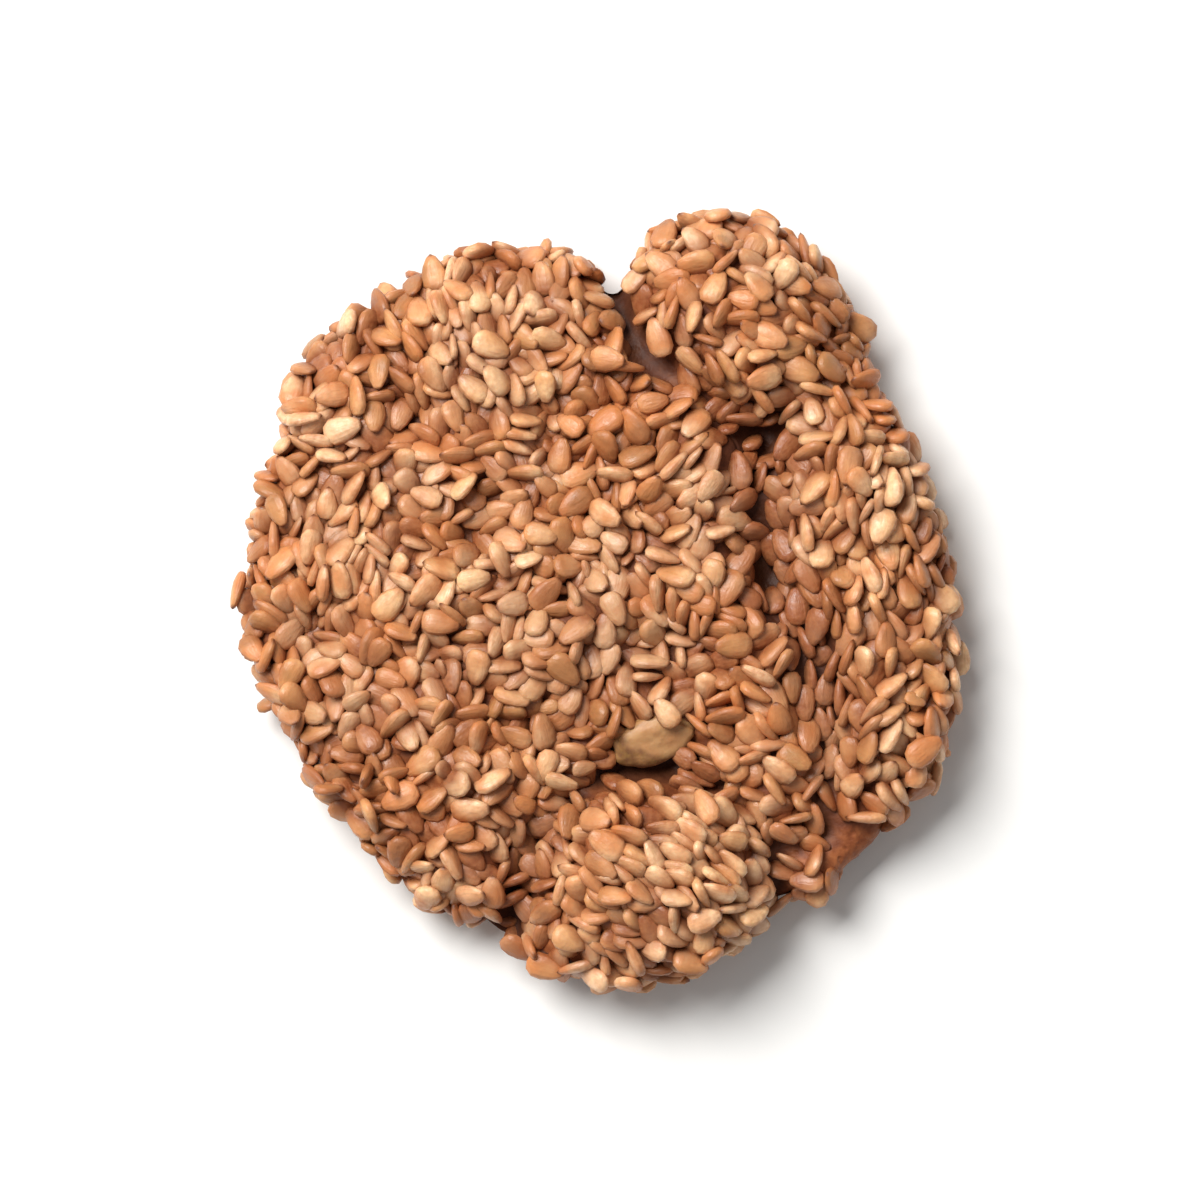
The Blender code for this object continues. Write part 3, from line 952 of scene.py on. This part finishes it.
def spot_sum(spots, places):
    """The sum of these round spots at each place, fading smoothly at their edges."""
    spread = np.array(places)[:, None, :2] + OUTLINE_MIDDLE.xy - np.array(spots)[None, :, :2]
    away = np.linalg.norm(spread, axis=2) / np.array(spots)[:, 2]
    return (np.array(spots)[:, 3] * np.exp(-(away**3))).sum(axis=1)


def combed(ways, places, normals):
    """Turns these random ways, along the dough, the more towards the heading of a spot near it."""
    ways = ways - normals * np.sum(ways * normals, axis=1, keepdims=True)
    for spot in STANDING_SEEDS:
        heading = math.radians(spot[-1])
        share = spot_sum((spot,), places) / spot[3]
        toward = SEED_COMBING * np.array((math.cos(heading), math.sin(heading), 0.0))
        ways += share[:, None] * np.sign(ways @ toward)[:, None] * toward
    return ways


def scatter(count, draws):
    """Evenly spread places on the bed, each the one of several tries furthest from the rest."""
    corners = np.array([[bed_points[i] for i in face] for face in bed_faces])
    crosses = np.cross(corners[:, 1] - corners[:, 0], corners[:, 2] - corners[:, 0])
    areas = np.linalg.norm(crosses, axis=1)
    shares = [
        coat_share(Vector(corner.mean(0)), Vector(cross)) for corner, cross in zip(corners, crosses)
    ]
    weights = areas * np.array(shares)
    weights /= weights.sum()
    tried = draws.choice(len(corners), size=count * SEED_TRIES, p=weights)
    spots = draws.dirichlet((1.0, 1.0, 1.0), size=count * SEED_TRIES)
    tried_places = np.einsum("nk,nkj->nj", spots, corners[tried])
    places = np.empty((0, 3))
    for number in range(count):
        some = tried_places[number * SEED_TRIES : (number + 1) * SEED_TRIES]
        if len(places):
            nearest = np.linalg.norm(some[:, None] - places[None], axis=2).min(axis=1)
            some = some[nearest.argmax()][None]
        places = np.concatenate([places, some[:1]])
    return places


def ground_under(ground, centres):
    """The nearest place on the dough to each seed, and the way out of the dough there."""
    near = [ground.find_nearest(Vector(centre)) for centre in centres]
    return np.array([hit[0] for hit in near]), np.array([hit[1] for hit in near])


def close_pairs(centres, reach):
    """Numbers of every two seeds whose middles are closer than reach."""
    tree = kdtree.KDTree(len(centres))
    for number, centre in enumerate(centres):
        tree.insert(centre, number)
    tree.balance()
    pairs = [
        (number, other)
        for number, centre in enumerate(centres)
        for _, other, _ in tree.find_range(centre, reach)
        if other > number
    ]
    return np.array(pairs)


def squared_up(turns):
    """Makes each seed's three directions square to each other again."""
    along = turns[:, :, 0] / np.linalg.norm(turns[:, :, 0], axis=1, keepdims=True)
    up = turns[:, :, 2] - along * np.sum(turns[:, :, 2] * along, axis=1, keepdims=True)
    up /= np.linalg.norm(up, axis=1, keepdims=True)
    return np.stack([along, np.cross(up, along), up], axis=2)


def back_inside(spots, radii):
    """How far each bead has to move to be over the tray and within the biscuit's outer size."""
    least = np.array(cad_low) + (-SEED_OVERHANG, -SEED_OVERHANG, SEED_TRAY_GAP)
    most = np.array(cad_high) + (SEED_OVERHANG, SEED_OVERHANG, SEED_HEADROOM)
    short = np.clip(least - spots + radii[..., None], 0.0, None)
    return short - np.clip(spots + radii[..., None] - most, 0.0, None)


def settle(centres, turns, sizes, leans, ground, chip_beads):
    """Lets the seeds sink onto the dough and each other, clear of the chips, till none cut deep."""
    half = np.array([SEED_LENGTH, SEED_WIDTH, SEED_THICKNESS]) / 2
    beads = np.array([(along * half[0], across * half[1], 0.0) for along, across, _ in SEED_BEADS])
    radii = np.array([share * half[2] for _, _, share in SEED_BEADS])
    radii = radii[None] * sizes[:, None] * SEED_STICK
    for step in range(SETTLE_STEPS):
        if step % SETTLE_REFRESH == 0:
            floor, normals = ground_under(ground, centres)
            pairs = close_pairs(centres, SEED_LENGTH * SETTLE_REACH)
            first, second = pairs.T
            leant = normals + leans
            leant /= np.linalg.norm(leant, axis=1, keepdims=True)
        still = step >= SETTLE_STEPS - 2 * SETTLE_REFRESH
        centres = centres - normals * (0.0 if still else SETTLE_PULL)
        arms = np.einsum("nij,kj->nki", turns, beads) * sizes[:, None, None]
        spots = centres[:, None] + arms
        between = spots[first][:, :, None] - spots[second][:, None]
        apart = np.linalg.norm(between, axis=3) + 1e-9
        overlap = radii[first][:, :, None] + radii[second][:, None] - apart
        overlap = np.clip(overlap, 0.0, None)
        pushes = between * (overlap / apart)[..., None] * 0.5
        move = np.zeros_like(centres)
        twist = np.zeros_like(centres)
        touching = np.zeros(len(centres))
        both = (first, pushes.sum(axis=2), 1.0), (second, pushes.sum(axis=1), -1.0)
        for who, push, sign in both:
            np.add.at(move, who, sign * push.sum(axis=1))
            np.add.at(twist, who, sign * np.cross(arms[who], push).sum(axis=1))
            np.add.at(touching, who, (overlap > 0).sum(axis=(1, 2)))
        sunk = radii - SEED_SUNK - np.einsum("nki,ni->nk", spots - floor[:, None], normals)
        sunk = np.clip(sunk, 0.0, None)
        inward = back_inside(spots, radii)
        push = sunk[..., None] * normals[:, None] + inward
        from_chips = spots[:, :, None] - chip_beads
        apart = np.linalg.norm(from_chips, axis=3)
        overlap = np.clip(radii[:, :, None] + CHIP_BEAD_RADIUS - apart, 0.0, None)
        push += (from_chips * (overlap / apart)[..., None]).sum(axis=2)
        move += push.sum(axis=1)
        twist += np.cross(arms, push).sum(axis=1)
        held = (sunk > 0) | (inward != 0).any(axis=2)
        touching += held.sum(axis=1) + (overlap > 0).sum(axis=(1, 2))
        easing = SETTLE_EASING / np.maximum(touching, 1.0)
        centres = centres + move * easing[:, None]
        twist = twist * easing[:, None] / half[0] ** 2
        twist += np.cross(turns[:, :, 2], leant) * SETTLE_FLATTEN
        swing = np.cross(twist[:, None], turns.transpose(0, 2, 1))
        turns = squared_up(turns + swing.transpose(0, 2, 1))
    arms = np.einsum("nij,kj->nki", turns, beads) * sizes[:, None, None]
    inward = back_inside(centres[:, None] + arms, radii / SEED_STICK)
    return centres + inward.max(axis=1) + inward.min(axis=1), turns


def coat_points():
    """A mesh of one point for each seed, with its turn, size, toast, honey and painted light, and
    painted shade in a crease.
    """
    draws = np.random.default_rng(SEED_DRAWS)
    floor, normals = ground_under(bed, scatter(SEED_COUNT, draws))
    sizes = draws.uniform(*SEED_SIZES, SEED_COUNT)
    share, least, most = BROKEN_SEEDS
    broken = draws.random(SEED_COUNT) < share
    sizes[broken] = draws.uniform(least, most, SEED_COUNT)[broken]
    along = combed(draws.normal(size=(SEED_COUNT, 3)), floor, normals)
    along -= normals * np.sum(along * normals, axis=1, keepdims=True)
    turns = squared_up(np.stack([along, along, normals], axis=2))
    share, least, most = SEEDS_ON_EDGE
    rolls = draws.normal(scale=SEED_ROLL, size=SEED_COUNT)
    on_edge = draws.random(SEED_COUNT) < share + spot_sum(STANDING_SEEDS, floor)
    rolls[on_edge] = draws.uniform(least, most, SEED_COUNT)[on_edge]
    pitches = draws.normal(scale=SEED_PITCH, size=SEED_COUNT)
    leans = turns[:, :, 1] * rolls[:, None] + turns[:, :, 0] * pitches[:, None]
    upper = np.arange(SEED_COUNT) > SEED_SECOND_LAYER[0] * SEED_COUNT
    lift = SEED_THICKNESS / 2 + np.where(upper, SEED_SECOND_LAYER[1], 0.0)
    centres = floor + normals * lift[:, None]
    chip_beads = [
        place + turn.to_3x3().col[0] * bead
        for place, turn, _ in chips_laid[len(BASE_CHIPS) : dome_chip + 1]
        for bead in CHIP_BEADS
    ]
    centres, turns = settle(centres, turns, sizes, leans, bed, np.array(chip_beads))
    return point_mesh(
        "coat points",
        centres,
        turn=[Matrix(turn).to_euler() for turn in turns],
        size=sizes,
        toast=draws.random(SEED_COUNT),
        honey=spot_sum(HONEY_AND_LIGHT_SPOTS, centres),
        fold=[fold_depth(Vector(centre)) for centre in centres],
    )


def seed_maker():
    """The tree that makes one drop-shaped seed and lays a copy of it at each point."""
    inputs = [(label, "NodeSocketFloat") for label in SEED_SHAPE]
    inputs += [(label, "NodeSocketInt") for label in SEED_FACES]
    inputs += [("Dough", "NodeSocketObject"), ("Finish", "NodeSocketMaterial")]
    tree, given, result = new_maker("sesame coat", inputs)
    ball = node(tree, "GeometryNodeMeshUVSphere", {0: given["Sides"], 1: given["Rings"], 2: 1.0})
    place = node(tree, "GeometryNodeInputPosition").outputs[0]
    kept = node(
        tree,
        "GeometryNodeStoreNamedAttribute",
        {"Geometry": ball.outputs[0], "Name": "on_seed", "Value": place},
        data_type="FLOAT_VECTOR",
    )
    across, through, along = node(tree, "ShaderNodeSeparateXYZ", {0: place}).outputs
    narrow = sums(tree, "SUBTRACT", 1.0, sums(tree, "MULTIPLY", along, given["Tip narrowing"]))
    half_length = sums(tree, "MULTIPLY", given["Seed length"], 0.5)
    half_width = sums(tree, "MULTIPLY", given["Seed width"], 0.5)
    half_thickness = sums(tree, "MULTIPLY", given["Seed thickness"], 0.5)
    tip = sums(tree, "MULTIPLY", sums(tree, "POWER", along, 4.0), given["Tip reach"])
    x = sums(tree, "MULTIPLY", sums(tree, "ADD", along, tip), half_length)
    y = sums(tree, "MULTIPLY", sums(tree, "MULTIPLY", across, narrow), half_width)
    face = sums(tree, "POWER", sums(tree, "ABSOLUTE", through), given["Face flatness"])
    face = sums(tree, "MULTIPLY", face, sums(tree, "SIGN", through))
    z = sums(tree, "MULTIPLY", sums(tree, "MULTIPLY", face, narrow), half_thickness)
    drop = node(tree, "ShaderNodeCombineXYZ", {0: x, 1: y, 2: z}).outputs[0]
    seed = node(tree, "GeometryNodeSetPosition", {"Geometry": kept.outputs[0], "Position": drop})
    smooth = node(tree, "GeometryNodeSetShadeSmooth", {"Geometry": seed.outputs[0]})
    real = laid_on_points(tree, given, smooth.outputs[0])
    own = sums(tree, "MULTIPLY", value_on_points(tree, "toast", "FLOAT"), 900.0)
    dents = node(
        tree,
        "ShaderNodeTexNoise",
        {"Vector": place, "W": own, "Scale": sums(tree, "DIVIDE", 1.0, given["Dent size"])},
        noise_dimensions="4D",
    )
    rise = sums(tree, "SUBTRACT", dents.outputs["Fac"], 0.5)
    rise = sums(tree, "MULTIPLY", rise, given["Dent depth"])
    outward = node(tree, "GeometryNodeInputNormal").outputs[0]
    shift = node(tree, "ShaderNodeVectorMath", {0: outward, "Scale": rise}, operation="SCALE")
    dented = node(tree, "GeometryNodeSetPosition", {"Geometry": real, "Offset": shift.outputs[0]})
    # How far each seed's surface is from the dough: the finish paints shade on what lies low
    dough_below = node(tree, "GeometryNodeObjectInfo", {"Object": given["Dough"]})
    height = node(tree, "GeometryNodeProximity", {0: dough_below.outputs["Geometry"]})
    lifted = node(
        tree,
        "GeometryNodeStoreNamedAttribute",
        {"Geometry": dented.outputs[0], "Name": "lift", "Value": height.outputs["Distance"]},
        data_type="FLOAT",
    )
    send_out(tree, given, result, lifted.outputs[0])
    return tree


def sesame_finish():
    """Toasted sesame: each seed its own gold, browner at edge and tip, with painted shade low down
    and in creases.
    """
    material, tree, shader = new_finish("toasted sesame")
    where = node(tree, "ShaderNodeTexCoord").outputs["Object"]
    toast = carried(tree, "toast")
    lift = carried(tree, "lift")
    on_seed = node(tree, "ShaderNodeAttribute", attribute_name="on_seed").outputs["Vector"]
    # Honey spots, with spots of painted light among them
    honey_here = carried(tree, "honey")
    patch = map_range(tree, speckle(tree, where, 5 * MM, 2.0), 0.33, 0.67, -0.6, 0.6)
    patch = sums(tree, "MULTIPLY_ADD", honey_here, 0.42, patch)
    shade = sums(tree, "ADD", patch, sums(tree, "MULTIPLY_ADD", toast, 0.7, 0.11))
    gold = ramp(
        tree,
        shade,
        (0.0, (0.9, 0.575, 0.34)),
        (0.4, (0.74, 0.37, 0.182)),
        (0.72, (0.54, 0.215, 0.083)),
        (1.0, (0.28, 0.088, 0.03)),
    )
    across, _, along = node(tree, "ShaderNodeSeparateXYZ", {0: on_seed}).outputs
    edge = sums(tree, "POWER", sums(tree, "ABSOLUTE", across), 3.5)
    tip = map_range(tree, along, 0.4, 1.0)
    brown = sums(tree, "MAXIMUM", edge, sums(tree, "MULTIPLY", tip, tip))
    second = node(tree, "ShaderNodeTexWhiteNoise", {"W": toast}, noise_dimensions="1D").outputs[0]
    gold = blend_of(tree, sums(tree, "MULTIPLY", second, 0.3), gold, STRAW)
    drips = sums(tree, "MULTIPLY_ADD", honey_here, 0.16, speckle(tree, where, 3.2 * MM, 2.0))
    gold = blend_of(tree, map_range(tree, drips, 0.5, 0.64, 0.0, 0.75), gold, HONEY_ORANGE)
    streak = speckle(tree, where, 0.45 * MM, 4.0)
    brown = sums(tree, "MULTIPLY", brown, sums(tree, "MULTIPLY_ADD", streak, 1.3, -0.02))
    browned = blend_of(tree, brown, gold, EDGE_BROWN)
    # Painted shade on seeds that lie low, near the dough, in a deep honey brown; an uneven honey
    # film moves how high it reaches
    honey = map_range(tree, speckle(tree, where, 3 * MM, 2.0), 0.3, 0.7, -0.45 * MM, 0.45 * MM)
    low = map_range(tree, sums(tree, "ADD", lift, honey), 1.45 * MM, 0.3 * MM, 0.0, 0.9)
    # Seeds down in a crease or pit take the same painted shade
    fold = carried(tree, "fold")
    low = sums(tree, "MAXIMUM", low, sums(tree, "MULTIPLY", fold, 0.85))
    honeyed = blend_of(tree, low, browned, HONEY_BROWN_SHADE)
    fine = map_range(tree, streak, 0.34, 0.7, 0.0, 0.45)
    mottled = blend_of(tree, fine, honeyed, STREAK_BROWN)
    mottled = blend_of(tree, map_range(tree, along, 0.86, 0.97), mottled, SCAR_BROWN)
    own_grain = node(tree, "ShaderNodeCombineXYZ", {2: sums(tree, "MULTIPLY", toast, 90.0)})
    lengthwise = node(
        tree,
        "ShaderNodeVectorMath",
        {0: on_seed, 1: (1.0, 1.0, 0.3), 2: own_grain.outputs[0]},
        operation="MULTIPLY_ADD",
    )
    wrinkles = speckle(tree, lengthwise.outputs[0], 0.3, 4.0)
    grain = sums(tree, "ADD", wrinkles, sums(tree, "MULTIPLY", streak, 0.7))
    bump = node(tree, "ShaderNodeBump", {"Height": grain, "Strength": 0.6, "Distance": 0.12 * MM})
    inputs = {
        "Base Color": mottled,
        "Roughness": map_range(tree, streak, 0.3, 0.7, 0.3, 0.54),
        "Specular IOR Level": 0.46,
        "Subsurface Weight": 0.15,
        "Subsurface Radius": (0.7 * MM, 0.35 * MM, 0.15 * MM),
        "Subsurface Scale": 1.0,
        "Normal": bump.outputs[0],
    }
    fill(tree, shader, inputs)
    return material


sesame = made_by(
    seed_maker(),
    "sesame",
    coat_points(),
    {**SEED_SHAPE, **SEED_FACES, "Dough": dough, "Finish": sesame_finish()},
)
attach(sesame, "root")


# The studio: a plain pale floor, a soft window light from the upper left, and the camera straight
# above, as the photograph was taken.
FLOOR_HALF = 1.5
FLOOR_DROP = 0.02 * MM
FLOOR_COLOUR = (0.86, 0.86, 0.85, 1.0)
WINDOW_PLACE = (-0.31, 0.33, 0.6)
CAMERA_HEIGHT = 0.49

corners = ((-1, -1), (1, -1), (1, 1), (-1, 1))
floor_places = [(x * FLOOR_HALF, y * FLOOR_HALF, -FLOOR_DROP) for x, y in corners]
floor_mesh = bpy.data.meshes.new("floor")
floor_mesh.from_pydata(floor_places, [], [(0, 1, 2, 3)])
pale, pale_tree, pale_shader = new_finish("pale floor")
fill(pale_tree, pale_shader, {"Base Color": FLOOR_COLOUR, "Roughness": 0.8})
floor_mesh.materials.append(pale)
floor = put_in_scene("floor", floor_mesh)

light = bpy.data.lights.new("window light", "AREA")
light.size = 0.42
light.energy = 8.9
light.color = (1.0, 0.985, 0.96)
window = put_in_scene("window light", light)
window.location = WINDOW_PLACE
window.rotation_euler = (-Vector(WINDOW_PLACE)).to_track_quat("-Z", "Y").to_euler()

room = bpy.data.worlds.new("studio")
room.use_nodes = True
backdrop = room.node_tree.nodes["Background"]
fill(room.node_tree, backdrop, {"Color": (1.0, 1.0, 1.0, 1.0), "Strength": 0.3})
bpy.context.scene.world = room
bpy.context.scene.view_settings.view_transform = "Standard"

camera_data = bpy.data.cameras.new("camera")
camera_data.lens = 200
camera = put_in_scene("camera", camera_data)
camera.location = (0.0, 0.0, CAMERA_HEIGHT)
bpy.context.scene.camera = camera
